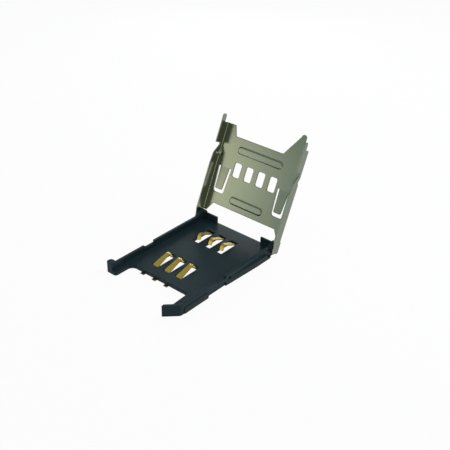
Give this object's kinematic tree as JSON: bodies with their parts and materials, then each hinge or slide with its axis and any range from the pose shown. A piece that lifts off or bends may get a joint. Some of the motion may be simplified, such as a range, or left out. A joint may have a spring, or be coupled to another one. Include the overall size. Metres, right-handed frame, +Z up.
{
  "type": "sim card socket",
  "caption": "Board-mounted SIM card socket: moulded open housing with gold spring contacts and a folded sheet-metal cover on a hinge, standing open.",
  "frame": {"origin": "middle of the housing's underside, on the board plane", "axes": "X across the card, Y from the card entry to the hinge, Z up from the board"},
  "size_m": [0.0176, 0.0329, 0.0187],
  "materials": {
    "housing": "satin moulded, blue-black",
    "cover_sheet": "smooth rolled sheet, grey-green reflections",
    "contact": "gold plated"
  },
  "bodies": {
    "housing": {"base_housing": "housing", "contact_near_left": "contact", "contact_near_middle": "contact", "contact_near_right": "contact", "contact_far_left": "contact", "contact_far_middle": "contact", "contact_far_right": "contact"},
    "cover": {"cover": "cover_sheet"}
  },
  "joints": [
    {"name": "cover_hinge", "type": "hinge", "parent": "housing", "child": "cover", "pos_m": [0, 0.012, 0.00138], "axis": [1, 0, 0], "range_deg": [0, 114]}
  ]
}
